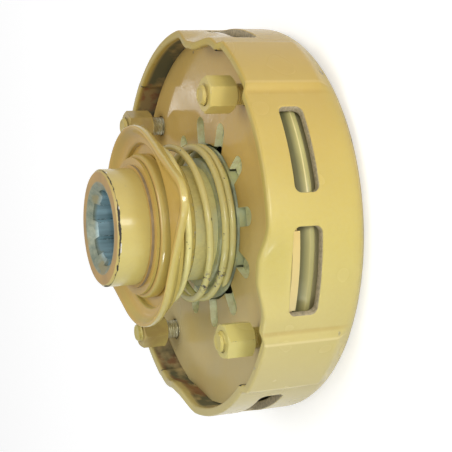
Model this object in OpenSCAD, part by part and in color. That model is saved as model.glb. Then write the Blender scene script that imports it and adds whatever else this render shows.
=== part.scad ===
// Torque-limiting friction coupling with a splined hub and a sprung locking collar.
// The axis is Z. The rear face of the housing stands on z = 0 and the hub points up.

/* [Housing] */
// Outer radius of the four round lobes
housing_r = 90.7; // [80:0.1:115]
// Thickness of the pressed sheet
wall = 4; // [3:0.1:5]
// Height of the rim above the front face of the disc spring
rim_rise = 11.1; // [9:0.1:14]
// Outer radius of the rounded rear shoulder
shoulder_r = 9; // [7.5:0.1:12]
// How far each stud pocket is pressed outwards
pocket_out = 2.5; // [1.5:0.1:3.5]
// Half of the angle that a stud pocket spans at full depth
pocket_half = 8.4; // [6:0.1:10]
// Angle over which a pocket's flank runs out into the lobe
pocket_flank = 4.2; // [3:0.1:6]
// How far the rim dips over a stud pocket
pocket_dip = 1.1; // [0.5:0.1:3]
// How far the staked strips are pressed inwards at the rim
stake_in = 5.4; // [3:0.1:6.5]
// How far the staking pushes the rim forwards
stake_rise = 2; // [1:0.1:3]
// Radius of the opening in the rear floor
floor_opening_r = 56; // [50:0.1:68]

/* [Windows] */
// Angle that each window spans
window_angle = 24.4; // [18:0.1:27]
// Angle between the middle of a lobe and the middle of each of its windows
window_offset = 16.5; // [14:0.1:18]
// Height of a plain window
window_h = 11; // [8:0.1:13]
// Distance from the front of the disc spring down to the plain windows
window_drop = 1.8; // [1:0.1:3]
// Corner radius of the windows
window_corner_r = 3; // [1.5:0.1:4]

/* [Disc spring] */
// Thickness of the disc spring
disc_spring_t = 3.4; // [2.8:0.1:4.2]
// Number of radial slots
disc_slot_count = 12; // [8:1:16]
// Width of a radial slot
disc_slot_w = 8.6; // [6:0.1:10.4]
// How far the slots reach out past the inner edge
disc_slot_depth = 12.9; // [9:0.1:16]
// How far the locating lugs stand out of the spring's rim
disc_lug_out = 2.7; // [1.5:0.1:3.3]

/* [Clutch pack] */
// Thickness of the back flange under the linings
flange_t = 3; // [2.4:0.1:4]
// Thickness of a friction lining
lining_t = 2.5; // [2:0.1:3.5]
// Radial width of a friction lining
lining_w = 30; // [24:0.1:34]
// Thickness of a hub-driven plate
drive_plate_t = 2.2; // [1.8:0.1:3]
// Thickness of the housing-driven plate
outer_plate_t = 2.4; // [1.9:0.1:3.2]
// Thickness of the pressure plate
pressure_plate_t = 5; // [4:0.1:7]
// Height of the raised ring that the disc spring bears on
fulcrum_h = 3.8; // [3:0.1:5]
// Radial width of the raised ring
fulcrum_w = 15; // [12:0.1:18]

/* [Studs and nuts] */
// Distance from the lobes' outer radius in to the middle of the studs
stud_inset = 16.2; // [13:0.1:20]
// Diameter of a stud
stud_d = 9.5; // [7.9:0.1:11.4]
// Height of the stud ends above the front of the disc spring
stud_rise = 21.4; // [18:0.1:26]
// Width across the flats of a nut
nut_flats = 14.3; // [12:0.1:17.2]
// Height of a nut
nut_h = 12.7; // [8:0.1:15]
// How far each nut is turned from its stud's radius
nut_turns = [30.5, 12, 0, 45]; // [0:0.5:59.5]
// Gap left under each nut, with the nuts backed off
nut_gap = 6.6; // [1:0.1:8]

/* [Hub] */
// Outer radius of the hub barrel
hub_r = 27; // [25:0.1:33]
// Height of the hub's end above the front of the disc spring
hub_rise = 53.3; // [50:0.1:64]
// How far the drive lugs stand out of the barrel
hub_lug_out = 9.2; // [8:0.1:11]
// Width of the pair of drive lugs
hub_lug_w = 42.6; // [36:0.1:51]
// How far the seat's short sleeve under the collar spring stands out of the barrel
seat_sleeve_out = 3.5; // [2.5:0.1:4.2]
// Height of the seat's sleeve above the front of the disc spring
seat_sleeve_rise = 6.1; // [4:0.1:7.4]
// Edge chamfer at the hub's end
hub_chamfer = 1.2; // [0.5:0.1:2]

/* [Spline] */
// Number of splines
spline_count = 6; // [4:1:8]
// Diameter across the bottoms of the grooves
spline_major_d = 35.1; // [30:0.1:42]
// Diameter across the tips of the teeth
spline_minor_d = 29.7; // [25:0.1:35]
// Width of a groove
spline_groove_w = 8.8; // [7:0.1:10]
// Diameter of the lead-in at the hub's end
lead_in_d = 41.6; // [38:0.1:46]
// Depth of the lead-in
lead_in_depth = 4; // [2:0.1:6]

/* [Locking collar] */
// Radius of a locking ball
ball_r = 6; // [5:0.1:7]
// Distance of the balls from the hub's end
ball_depth = 27.3; // [24:0.1:32]
// Rise of the cam cone for each millimetre of collar travel
cam_slope = 0.4; // [0.3:0.01:0.5]
// Travel of the collar
collar_travel = 6.7; // [5:0.1:8]
// Wall of the collar sleeve over the barrel
sleeve_wall = 4.45; // [4:0.05:5.5]
// Length of the sleeve in front of the balls
sleeve_front = 9.6; // [8:0.1:12]
// Length of the sleeve behind the balls
sleeve_rear = 7.6; // [6:0.1:9.2]
// How far the bead stands out of the sleeve
bead_out = 2; // [1:0.1:3]
// Length of the bead
bead_l = 6.1; // [4:0.1:7]

/* [Pull plate] */
// How far the plate's long ends stand out of the bead
plate_reach_long = 28.35; // [22:0.05:36]
// How far the plate's sides stand out of the bead
plate_reach_side = 13.35; // [11:0.05:18]
// Corner radius at the plate's long ends
plate_end_r = 12.2; // [9:0.1:16]
// Corner radius at the plate's short ends
plate_side_r = 43; // [36:0.1:43.5]
// Angle by which the plate is turned from the X axis
plate_turn = 9.4; // [0:0.1:20]
// Room between the bead and the oval well along the plate
well_gap_along = 0.65; // [0.5:0.05:2]
// Room between the bead and the oval well across the plate
well_gap_across = 4.85; // [3:0.05:6]
// Thickness of the plate's floor
plate_floor_t = 3; // [2:0.1:4]
// Height of the plate's web over the face of its floor
plate_web_rise = 2.9; // [2:0.1:4]
// Height of the plate's rim over the back of its floor
plate_rim_rise = 9.8; // [8:0.1:12]
// Width of the raised rim
plate_rim_w = 9; // [6:0.1:11]
// Thickness of the plate at its rim
plate_rim_t = 3.5; // [2.5:0.1:4]

/* [Collar spring] */
// Wire diameter
wire_d = 3.3; // [2.7:0.1:4]
// Number of turns
coil_turns = 3.4; // [2.8:0.1:4.1]
// Gap between the sleeve and the coils
coil_gap = 2.65; // [2:0.05:3.5]
// Thickness of the spring seat
seat_t = 1.2; // [1:0.1:2]

/* [Small parts] */
// Thickness of the stop ring in front of the collar
stop_ring_t = 1.5; // [1:0.1:2]
// Radial width of the stop ring
stop_ring_w = 4.7; // [4.2:0.1:5.4]
// Thickness of the retaining ring
retaining_ring_t = 1.2; // [1:0.1:1.6]
// Depth of the grooves for the retaining ring and the circlip
groove_depth = 1.2; // [0.8:0.1:1.6]
// Radial width of the circlip
circlip_w = 6; // [4:0.1:7]
// Thickness of the circlip
circlip_t = 1.5; // [1:0.1:1.8]
// Wall of the hub bush
bush_wall = 3; // [2:0.1:4]
// Thickness of the bush's flange
bush_flange_t = 1.5; // [1:0.1:1.8]

/* [Rear face] */
// Diameter of the rear bolt circle
bolt_circle_d = 90; // [84:0.1:96]
// Radius of the tapped holes
bolt_hole_r = 4.25; // [3.3:0.05:5.1]
// Number of tapped holes
bolt_count = 6; // [4:1:8]

/* [Fits] */
// Radial clearance of a running fit
running_fit = 0.05; // [0.02:0.01:0.1]
// Gap between faces that rub
face_gap = 0.05; // [0.02:0.01:0.2]
// Radial play between the housing and the plates in it
housing_play = 1.4; // [1:0.1:2]

/* [Hidden] */
$fn = 96;

paint = "#c8b063";
bare_steel = "#8d9288";
lining_brown = "#5b4a3c";
bronze = "#b08d57";

lobes = [0, 90, 180, 270];
housing_inner_r = housing_r - wall;
plate_r = housing_inner_r - housing_play;
ear_r = plate_r + pocket_out;
stud_circle_r = housing_r - stud_inset;

// Heights of the stack, from the rear face up
flange_top = wall + flange_t;
rear_plate_z = flange_top + lining_t;
outer_plate_z = rear_plate_z + drive_plate_t + lining_t;
front_plate_z = outer_plate_z + outer_plate_t + lining_t;
pressure_z = front_plate_z + drive_plate_t + lining_t;
fulcrum_top = pressure_z + pressure_plate_t + fulcrum_h;
spring_top = fulcrum_top + disc_spring_t;
rim_z = spring_top + rim_rise;
hub_top = spring_top + hub_rise;

// Radii that follow from the hub
hub_lug_r = hub_r + hub_lug_out;
seat_sleeve_r = hub_r + seat_sleeve_out;
seat_sleeve_top = spring_top + seat_sleeve_rise;
lug_base = flange_top + bush_flange_t + face_gap;
lug_top = spring_top - 0.6;
sleeve_bore_r = hub_r + running_fit;
sleeve_r = hub_r + sleeve_wall;
bead_r = sleeve_r + bead_out;
plate_a = bead_r + plate_reach_long;
plate_b = bead_r + plate_reach_side;
coil_r = sleeve_r + coil_gap + wire_d / 2;
disc_inner_r = hub_lug_r + 1.1;
fulcrum_inner_r = hub_lug_r + 0.8;
lining_outer_r = plate_r - 1.3;
lining_inner_r = lining_outer_r - lining_w;

// Heights at the rear end of the hub
hub_base = 0.4;
circlip_z = 1.2;
bush_base = circlip_z + circlip_t + 0.1;

// Heights of the collar, from the hub's end down
ball_z = hub_top - ball_depth;
ball_centre_r = hub_r - ball_r - 0.1;
sleeve_top = ball_z + sleeve_front;
bead_base = sleeve_top - bead_l;
plate_base = bead_base - plate_floor_t;
seat_top = lug_top + seat_t;
ball_angles = [30, 150, 270];

// A smooth step from 0 to 1 between a and b
function ease(x, a, b) =
    let (t = min(1, max(0, (x - a) / (b - a))))
    t * t * (3 - 2 * t);
// The angle between a and the nearest member of the fourfold set at b, from 0 to 45
function turn_from(a, b) =
    let (t = ((a - b) % 90 + 90) % 90)
    min(t, 90 - t);
function on_ray(r, a, z) = [r * cos(a), r * sin(a), z];
// Triangles and quads that close a ring of rings, each with n points
function torus_faces(rings, n) = [
    for (i = [0 : rings - 1], j = [0 : n - 1])
        let (k = (i + 1) % rings, m = (j + 1) % n)
        each [
            [i * n + j, i * n + m, k * n + m],
            [i * n + j, k * n + m, k * n + j]
        ]
];

// The pressed housing, as radii and heights around the axis

pocket_end = pocket_half + pocket_flank;
stake_half = window_angle / 2 + 1.2;
shoulder_top = shoulder_r;
pocket_fade_low = shoulder_r * 0.6;
pocket_fade_high = shoulder_r * 1.4;
stake_foot = 0.33;
stake_side = window_angle / 2 - 3;
quarter_angles = [
    pocket_end - 45,
    -window_offset - stake_half,
    -window_offset - stake_side,
    -window_offset - stake_side / 2,
    -window_offset,
    -window_offset + stake_side / 2,
    -window_offset + stake_side,
    -window_offset + stake_half,
    for (i = [1 : 5]) (stake_half - window_offset) * (1 - i / 6) + (45 - pocket_end) * i / 6,
    45 - pocket_end,
    45 - pocket_end + pocket_flank / 2,
    45 - pocket_half,
    45 - pocket_half / 2,
    45,
    45 + pocket_half / 2,
    45 + pocket_half,
    45 + pocket_end - pocket_flank / 2
];
housing_angles = [for (lobe = lobes) for (a = quarter_angles) lobe + a];
arc_steps = 5;

function pocket(a) = 1 - ease(turn_from(a, 45), pocket_half, pocket_end);
function stake(a) = 1 - ease(turn_from(a, -window_offset), 2, stake_half);
function rim_at(a) = rim_z - pocket_dip * pocket(a) + stake_rise * stake(a);
function pocket_shift(a, z) = pocket_out * pocket(a) * ease(z, pocket_fade_low, pocket_fade_high);
function stake_share(z) = stake_foot + (1 - stake_foot) * ease(z, spring_top, rim_z);
function stake_shift(a, z) = z < spring_top - 0.01 ? 0 : stake_in * stake(a) * stake_share(z);
function wall_shift(a, z) = pocket_shift(a, z) - stake_shift(a, z);

// The profile as [radius, height, share of the height between spring and rim]
edge_r = 1.2;
function wall_levels() = [
    for (z = [
        shoulder_top, shoulder_top * 1.2, shoulder_top * 1.45, spring_top - window_drop - window_h - 1,
        spring_top - window_drop - window_h / 2, spring_top - window_drop, spring_top - 0.1
    ]) z
];
function upper_shares() = [0.04, 0.3, 0.55, 0.78];
outer_profile = [
    for (z = wall_levels()) [housing_r, z, -1],
    for (s = upper_shares()) [housing_r, 0, s],
    [housing_r, 0, 1 - edge_r / rim_rise],
    [housing_r - edge_r * 0.3, 0, 1 - edge_r * 0.3 / rim_rise],
    [housing_r - edge_r, 0, 1]
];
inner_profile = [
    [housing_inner_r + edge_r * 0.5, 0, 1],
    [housing_inner_r, 0, 1 - edge_r * 0.5 / rim_rise],
    for (i = [len(upper_shares()) - 1 : -1 : 0]) [housing_inner_r, 0, upper_shares()[i]],
    for (i = [len(wall_levels()) - 1 : -1 : 0]) [housing_inner_r, max(wall_levels()[i], shoulder_top), -1]
];
inner_shoulder_r = shoulder_r - wall;
inner_shoulder = [
    for (i = [1 : arc_steps])
        let (a = 90 * i / arc_steps)
        [housing_inner_r - inner_shoulder_r * (1 - cos(a)), shoulder_r - inner_shoulder_r * sin(a), -1]
];
outer_shoulder = [
    for (i = [arc_steps : -1 : 1])
        let (a = 90 * i / arc_steps)
        [housing_r - shoulder_r * (1 - cos(a)), shoulder_r - shoulder_r * sin(a), -1]
];
housing_profile = concat(
    [[floor_opening_r, wall, -1], [floor_opening_r, 0, -1]],
    outer_shoulder,
    outer_profile,
    inner_profile,
    inner_shoulder
);
function housing_point(p, a) =
    let (
        z = p[2] < 0 ? p[1] : spring_top + p[2] * (rim_at(a) - spring_top),
        base = p[2] < 0 ? p[1] : spring_top + p[2] * rim_rise,
        r = p[0] + (p[0] > floor_opening_r ? wall_shift(a, base) : 0)
    )
    on_ray(r, a, z);

module rounded_rect(w, h, r) {
    square([w - 2 * r, h], center = true);
    square([w, h - 2 * r], center = true);
    for (x = [-1, 1], y = [-1, 1])
        translate([x * (w / 2 - r), y * (h / 2 - r)])
            circle(r = r, $fn = 48);
}

// A window through the wall, from height low to height high
module window_cut(angle, low, high) {
    w = 2 * housing_r * sin(window_angle / 2);
    rotate([0, 0, angle])
        translate([housing_inner_r - 12, 0, (low + high) / 2])
            rotate([90, 0, 90])
                linear_extrude(30)
                    rounded_rect(w, high - low, window_corner_r);
}

module clutch_housing() {
    low = spring_top - window_drop - window_h;
    color(paint)
        difference() {
            polyhedron(
                [for (p = housing_profile) for (a = housing_angles) housing_point(p, a)],
                torus_faces(len(housing_profile), len(housing_angles))
            );
            for (lobe = lobes) {
                window_cut(lobe + window_offset, low, spring_top - window_drop);
                window_cut(lobe - window_offset, low, spring_top + face_gap);
            }
        }
}

// A ring on the axis, from height z up
module ring(inner, outer, z, h) {
    translate([0, 0, z])
        difference() {
            cylinder(r = outer, h = h);
            translate([0, 0, -1])
                cylinder(r = inner, h = h + 2);
        }
}

module around(count, radius, first = 0) {
    for (i = [0 : count - 1])
        rotate([0, 0, first + i * 360 / count])
            translate([radius, 0, 0])
                children();
}

// Ears that reach into the stud pockets
module ears(z, h) {
    for (lobe = lobes)
        rotate([0, 0, lobe + 45 - pocket_half + 1])
            translate([0, 0, z])
                rotate_extrude(angle = 2 * pocket_half - 2)
                    translate([plate_r - 4, 0])
                        square([ear_r - plate_r + 4, h]);
}

module back_flange() {
    boss_r = floor_opening_r - running_fit;
    bush_r = hub_r + running_fit + bush_wall;
    color(bare_steel)
        difference() {
            rotate_extrude()
                polygon([
                    [bush_r, bush_base],
                    [bush_r, flange_top],
                    [plate_r, flange_top],
                    [plate_r, flange_top - 0.9],
                    [housing_inner_r - inner_shoulder_r - 0.5, wall],
                    [boss_r, wall],
                    [boss_r, 1],
                    [boss_r - 1, 0],
                    [hub_r + circlip_w + 1, 0],
                    [hub_r + circlip_w + 1, bush_base]
                ]);
            around(bolt_count, bolt_circle_d / 2)
                translate([0, 0, -1])
                    cylinder(r = bolt_hole_r, h = flange_top + 2);
        }
}

module hub_bush() {
    color(bronze)
        rotate_extrude()
            polygon([
                [hub_r + running_fit, bush_base],
                [hub_r + running_fit + bush_wall, bush_base],
                [hub_r + running_fit + bush_wall, flange_top],
                [hub_lug_r, flange_top],
                [hub_lug_r, flange_top + bush_flange_t],
                [hub_r + running_fit, flange_top + bush_flange_t]
            ]);
}

// The outline of barrel and drive lugs, grown by gap
module lug_outline(gap) {
    circle(r = hub_r + gap);
    intersection() {
        circle(r = hub_lug_r + gap);
        square([4 * hub_lug_r, hub_lug_w + 2 * gap], center = true);
    }
}

module spline_outline() {
    circle(d = spline_minor_d);
    intersection() {
        circle(d = spline_major_d);
        for (i = [0 : spline_count - 1])
            rotate([0, 0, (i + 0.5) * 360 / spline_count])
                translate([0, -spline_groove_w / 2])
                    square([spline_major_d, spline_groove_w]);
    }
}

module splined_hub() {
    spring_ring_z = sleeve_top + face_gap + stop_ring_t + face_gap;
    color(paint)
        difference() {
            union() {
                rotate_extrude()
                    polygon([
                        [spline_minor_d / 2 - 3, hub_base],
                        [hub_r - 0.8, hub_base],
                        [hub_r, hub_base + 0.8],
                        [hub_r, hub_top - hub_chamfer],
                        [hub_r - hub_chamfer, hub_top],
                        [spline_minor_d / 2 - 3, hub_top]
                    ]);
                translate([0, 0, lug_base])
                    linear_extrude(lug_top - lug_base)
                        lug_outline(0);
            }
            translate([0, 0, hub_base - 1])
                linear_extrude(hub_top - hub_base + 2)
                    spline_outline();
            translate([0, 0, hub_top - lead_in_depth])
                cylinder(d1 = spline_minor_d, d2 = lead_in_d, h = lead_in_depth + 0.001);
            ring(hub_r - groove_depth, hub_r + 1, spring_ring_z, retaining_ring_t + face_gap);
            ring(hub_r - groove_depth, hub_r + 1, circlip_z, circlip_t + face_gap);
            for (a = ball_angles)
                rotate([0, 0, a])
                    translate([0, 0, ball_z])
                        rotate([0, 90, 0])
                            ball_hole();
        }
}

// The radial hole of a ball, with the lip that keeps the ball out of the bore
module ball_hole() {
    lip_hole_r = ball_r - 0.8;
    lip_r = ball_centre_r - sqrt(ball_r * ball_r - lip_hole_r * lip_hole_r) - 0.05;
    cylinder(r = lip_hole_r, h = hub_r);
    translate([0, 0, lip_r])
        cylinder(r = ball_r + running_fit, h = hub_r);
}

// A sprung ring with a gap, open at the given angle
module split_ring(inner, outer, z, h, gap, angle) {
    difference() {
        ring(inner, outer, z, h);
        rotate([0, 0, angle])
            translate([0, -gap / 2, z - 1])
                cube([outer + 1, gap, h + 2]);
    }
}

module rear_circlip() {
    color(bare_steel)
        split_ring(hub_r - groove_depth + 0.1, hub_r + circlip_w - 1, circlip_z + 0.02, circlip_t, 9, 90);
}

module lining(z, h) {
    color(lining_brown)
        ring(lining_inner_r, lining_outer_r, z, h);
}
module friction_lining_1() { lining(front_plate_z + drive_plate_t, lining_t - face_gap); }
module friction_lining_2() { lining(front_plate_z - lining_t + face_gap, lining_t - face_gap); }
module friction_lining_3() { lining(rear_plate_z + drive_plate_t, lining_t - face_gap); }
module friction_lining_4() { lining(rear_plate_z - lining_t + face_gap, lining_t - face_gap); }

module drive_plate(z) {
    color(bare_steel)
        translate([0, 0, z])
            linear_extrude(drive_plate_t)
                difference() {
                    circle(r = lining_outer_r);
                    lug_outline(0.1);
                }
}
module drive_plate_front() { drive_plate(front_plate_z); }
module drive_plate_rear() { drive_plate(rear_plate_z); }

module outer_plate() {
    color(bare_steel) {
        union() {
            ring(lining_inner_r, plate_r, outer_plate_z, outer_plate_t);
            ears(outer_plate_z, outer_plate_t);
        }
    }
}

module pressure_plate() {
    color(paint)
        difference() {
            union() {
                rotate_extrude()
                    polygon([
                        [fulcrum_inner_r, pressure_z],
                        [plate_r, pressure_z],
                        [plate_r, pressure_z + pressure_plate_t - 0.8],
                        [plate_r - 0.8, pressure_z + pressure_plate_t],
                        [fulcrum_inner_r + fulcrum_w, pressure_z + pressure_plate_t],
                        [fulcrum_inner_r + fulcrum_w, fulcrum_top],
                        [fulcrum_inner_r, fulcrum_top]
                    ]);
                ears(pressure_z, pressure_plate_t - 0.8);
            }
            around(4, stud_circle_r, 45)
                translate([0, 0, pressure_z - 1])
                    cylinder(d = stud_d + 0.04, h = pressure_plate_t + 2);
        }
}

module release_studs() {
    length = spring_top + stud_rise - pressure_z;
    color(paint)
        around(4, stud_circle_r, 45)
            translate([0, 0, pressure_z])
                rotate_extrude()
                    polygon([
                        [0, 0],
                        [stud_d / 2, 0],
                        [stud_d / 2, length - 1],
                        [stud_d / 2 - 1, length],
                        [0, length]
                    ]);
}

module release_nut() {
    corner_r = nut_flats / sqrt(3);
    difference() {
        intersection() {
            cylinder(r = corner_r, h = nut_h, $fn = 6);
            rotate_extrude()
                polygon([
                    [0, 0],
                    [corner_r - 1.2, 0],
                    [corner_r, 0.7],
                    [corner_r, nut_h - 0.7],
                    [corner_r - 1.2, nut_h],
                    [0, nut_h]
                ]);
        }
        translate([0, 0, -1])
            cylinder(d = stud_d + 2 * running_fit, h = nut_h + 2);
    }
}

module release_nuts() {
    color(paint)
        for (i = [0 : 3])
            rotate([0, 0, 45 + 90 * i])
                translate([stud_circle_r, 0, spring_top + nut_gap])
                    rotate([0, 0, nut_turns[i]])
                        release_nut();
}

module disc_slot() {
    end = disc_inner_r + disc_slot_depth - disc_slot_w / 2;
    translate([end, 0])
        circle(d = disc_slot_w);
    translate([disc_inner_r - 6, -disc_slot_w / 2])
        square([end - disc_inner_r + 6, disc_slot_w]);
}

module disc_spring() {
    rim_r = housing_inner_r - 0.5;
    lug_angle = window_angle - 2.4;
    color(paint)
        translate([0, 0, fulcrum_top])
            difference() {
                union() {
                    cylinder(r = rim_r, h = disc_spring_t);
                    for (lobe = lobes)
                        rotate([0, 0, lobe - window_offset - lug_angle / 2])
                            rotate_extrude(angle = lug_angle)
                                translate([rim_r - 4, 0])
                                    square([4 + disc_lug_out, disc_spring_t]);
                }
                translate([0, 0, -1])
                    linear_extrude(disc_spring_t + 2) {
                        circle(r = disc_inner_r);
                        for (i = [0 : disc_slot_count - 1])
                            rotate([0, 0, i * 360 / disc_slot_count])
                                disc_slot();
                    }
                around(4, stud_circle_r, 45)
                    translate([0, 0, -1])
                        cylinder(d = stud_d + 1, h = disc_spring_t + 2);
            }
}

module spring_seat() {
    color(bare_steel)
        rotate_extrude()
            polygon([
                [hub_r + running_fit, lug_top],
                [hub_lug_r, lug_top],
                [hub_lug_r, seat_top],
                [seat_sleeve_r, seat_top],
                [seat_sleeve_r, seat_sleeve_top - 0.6],
                [seat_sleeve_r - 0.6, seat_sleeve_top],
                [hub_r + running_fit, seat_sleeve_top]
            ]);
}

// The collar spring, as the height of the wire's centre after a number of turns
coil_low = seat_top + wire_d / 2 + 0.05;
coil_high = plate_base - wire_d / 2 - 0.05;
coil_start = -60;
coil_step = 12;
coil_pitch = wire_d + 0.1;
coil_open = coil_high - coil_low - coil_turns * coil_pitch;
wire_sides = 10;
function coil_z(t) =
    coil_low + t * coil_pitch + coil_open * ease(t, 0.44 * coil_turns, 0.88 * coil_turns);

module collar_spring() {
    last = floor(coil_turns * 360 / coil_step);
    points = [
        for (i = [0 : last], j = [0 : wire_sides - 1])
            let (
                a = coil_start + i * coil_step,
                t = i * coil_step / 360,
                b = j * 360 / wire_sides
            )
            on_ray(coil_r + wire_d / 2 * cos(b), a, coil_z(t) + wire_d / 2 * sin(b))
    ];
    walls = [
        for (i = [0 : last - 1], j = [0 : wire_sides - 1])
            let (m = (j + 1) % wire_sides, p = i * wire_sides, q = p + wire_sides)
            each [[p + j, p + m, q + m], [p + j, q + m, q + j]]
    ];
    first_cap = [[for (j = [wire_sides - 1 : -1 : 0]) j]];
    last_cap = [[for (j = [0 : wire_sides - 1]) last * wire_sides + j]];
    color(paint)
        polyhedron(points, concat(walls, first_cap, last_cap));
}

module collar_sleeve() {
    cone_low = ball_z - 0.8;
    cone_high = cone_low + collar_travel + 1.6;
    recess_r = sleeve_bore_r + cam_slope * (cone_high - cone_low);
    color(paint)
        rotate_extrude()
            polygon([
                [sleeve_bore_r, ball_z - sleeve_rear],
                [sleeve_r - 0.8, ball_z - sleeve_rear],
                [sleeve_r, ball_z - sleeve_rear + 0.8],
                [sleeve_r, bead_base],
                [bead_r - 0.7, bead_base],
                [bead_r, bead_base + 0.7],
                for (a = [0 : 15 : 90])
                    [bead_r - 2.2 * (1 - cos(a)), sleeve_top - 2.2 * (1 - sin(a))],
                [recess_r, sleeve_top],
                [recess_r, cone_high],
                [sleeve_bore_r, cone_low]
            ]);
}

// The pull plate: a dished lozenge with an oval well around the sleeve.
// Its outline is drawn round two small circles at the long ends and two large ones at the sides.
end_c = plate_a - plate_end_r;
side_c = plate_b - plate_side_r;
edge_turn = acos((plate_side_r - plate_end_r) / norm([end_c, side_c])) - atan2(side_c, end_c);
plate_arc = 5;
plate_straight = 5;
function edge_point(cx, cy, r, a) = [cx + r * cos(a), cy + r * sin(a), cos(a), sin(a)];
end_tangent = edge_point(end_c, 0, plate_end_r, edge_turn);
side_tangent = edge_point(0, side_c, plate_side_r, edge_turn);
quarter = [
    for (i = [0 : plate_arc]) edge_point(end_c, 0, plate_end_r, edge_turn * i / plate_arc),
    for (i = [1 : plate_straight - 1]) end_tangent + (side_tangent - end_tangent) * i / plate_straight,
    for (i = [0 : plate_arc]) edge_point(0, side_c, plate_side_r, edge_turn + (90 - edge_turn) * i / plate_arc)
];
quarter_n = len(quarter);
function flipped(p, sx, sy) = [sx * p[0], sy * p[1], sx * p[2], sy * p[3]];
plate_edge = [
    for (p = quarter) p,
    for (i = [quarter_n - 2 : -1 : 0]) flipped(quarter[i], -1, 1),
    for (i = [1 : quarter_n - 1]) flipped(quarter[i], -1, -1),
    for (i = [quarter_n - 2 : -1 : 1]) flipped(quarter[i], 1, -1)
];
well_a = bead_r + well_gap_along;
well_b = bead_r + well_gap_across;
function well_point(p, g, z) =
    let (
        s = norm([p[0], p[1]]),
        u = p[0] / s,
        v = p[1] / s,
        k = 1 / norm([u / (well_a + g), v / (well_b + g)])
    )
    [k * u, k * v, z];
// The share of an inset that is used where the well leaves less room than the widest inset
function room_share(p, g, widest) =
    min(1, (norm([p[0], p[1]]) - norm(well_point(p, g, 0)) - 0.3) / widest);
function inset_point(p, d, z) = [p[0] - d * p[2], p[1] - d * p[3], z];
function hole_point(p, r, z) =
    let (s = norm([p[0], p[1]]))
    [r * p[0] / s, r * p[1] / s, z];

module pull_plate() {
    web_top = bead_base + plate_web_rise;
    web_base = web_top - plate_floor_t;
    rim_top = plate_base + plate_rim_rise;
    rim_base = rim_top - plate_rim_t;
    h = plate_rim_t / 2;
    web_in = plate_rim_w + 1.5;
    hole_r = sleeve_r + 0.1;
    edge_levels = [
        [0.3 * h, rim_base],
        [0, rim_base + 0.3 * h],
        [0, rim_top - 0.4 * h],
        [0.12 * h, rim_top - 0.12 * h],
        [0.4 * h, rim_top],
        [h + 1.2, rim_top - 0.3],
        [plate_rim_w - 1.5, web_top + 0.7],
        [plate_rim_w, web_top + 0.1],
        [web_in, web_top]
    ];
    under_levels = [
        [web_in + 0.7, web_base],
        [plate_rim_w + 0.6, web_base + 0.2],
        [h + 1.8, rim_base + 0.1]
    ];
    rings = concat(
        [for (e = edge_levels) [for (p = plate_edge) inset_point(p, e[0] * room_share(p, 1.2, web_in), e[1])]],
        [for (e = [[1.2, web_top], [0.35, web_top - 0.35], [0, web_top - 1.2], [0, bead_base]])
            [for (p = plate_edge) well_point(p, e[0], e[1])]],
        [for (z = [bead_base, plate_base]) [for (p = plate_edge) hole_point(p, hole_r - 3, z)]],
        [for (e = [[plate_floor_t - 1, plate_base], [plate_floor_t, plate_base + 1], [plate_floor_t, web_base]])
            [for (p = plate_edge) well_point(p, e[0], e[1])]],
        [for (e = under_levels)
            [for (p = plate_edge) inset_point(p, e[0] * room_share(p, plate_floor_t, web_in + 0.7), e[1])]]
    );
    color(paint)
        rotate([0, 0, plate_turn])
            difference() {
                polyhedron([for (r = rings) for (q = r) q], torus_faces(len(rings), len(plate_edge)));
                translate([0, 0, plate_base - 1])
                    cylinder(r = hole_r, h = plate_floor_t + 2);
            }
}

module collar_stop_ring() {
    color(paint)
        ring(hub_r + running_fit, hub_r + stop_ring_w, sleeve_top + face_gap, stop_ring_t);
}

module retaining_ring() {
    color(paint)
        split_ring(
            hub_r - groove_depth + 0.05, hub_r + 1.4,
            sleeve_top + 2 * face_gap + stop_ring_t, retaining_ring_t, 5, 200
        );
}

module locking_ball(i) {
    color(bare_steel)
        rotate([0, 0, ball_angles[i]])
            translate([ball_centre_r, 0, ball_z])
                sphere(r = ball_r);
}
module locking_ball_1() { locking_ball(0); }
module locking_ball_2() { locking_ball(1); }
module locking_ball_3() { locking_ball(2); }

clutch_housing();
back_flange();
hub_bush();
splined_hub();
rear_circlip();
friction_lining_1();
friction_lining_2();
friction_lining_3();
friction_lining_4();
drive_plate_front();
drive_plate_rear();
outer_plate();
pressure_plate();
release_studs();
release_nuts();
disc_spring();
spring_seat();
collar_spring();
collar_sleeve();
pull_plate();
collar_stop_ring();
retaining_ring();
locking_ball_1();
locking_ball_2();
locking_ball_3();
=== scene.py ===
"""Looks of the friction coupling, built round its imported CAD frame.

The axis is Z, with the hub's open end up and the rear face on the floor. The scene is in metres, while
shapes and patterns are worked out in millimetres and degrees.
"""
import math
import bmesh
import bpy
import numpy as np
from mathutils import Matrix


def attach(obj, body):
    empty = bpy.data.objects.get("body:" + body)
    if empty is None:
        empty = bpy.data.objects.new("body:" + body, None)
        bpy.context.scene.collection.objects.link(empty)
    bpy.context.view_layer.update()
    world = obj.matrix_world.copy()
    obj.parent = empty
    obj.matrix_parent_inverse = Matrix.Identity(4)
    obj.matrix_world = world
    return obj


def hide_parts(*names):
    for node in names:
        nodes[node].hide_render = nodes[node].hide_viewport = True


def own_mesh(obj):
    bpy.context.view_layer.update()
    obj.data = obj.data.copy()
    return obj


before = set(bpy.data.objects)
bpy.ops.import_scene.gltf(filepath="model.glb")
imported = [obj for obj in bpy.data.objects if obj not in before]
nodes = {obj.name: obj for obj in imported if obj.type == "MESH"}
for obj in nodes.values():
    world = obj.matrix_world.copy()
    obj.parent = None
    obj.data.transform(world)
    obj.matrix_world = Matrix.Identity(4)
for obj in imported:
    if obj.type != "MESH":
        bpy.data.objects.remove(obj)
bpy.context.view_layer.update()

scene = bpy.context.scene


# Camera, lamps and floor

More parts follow.
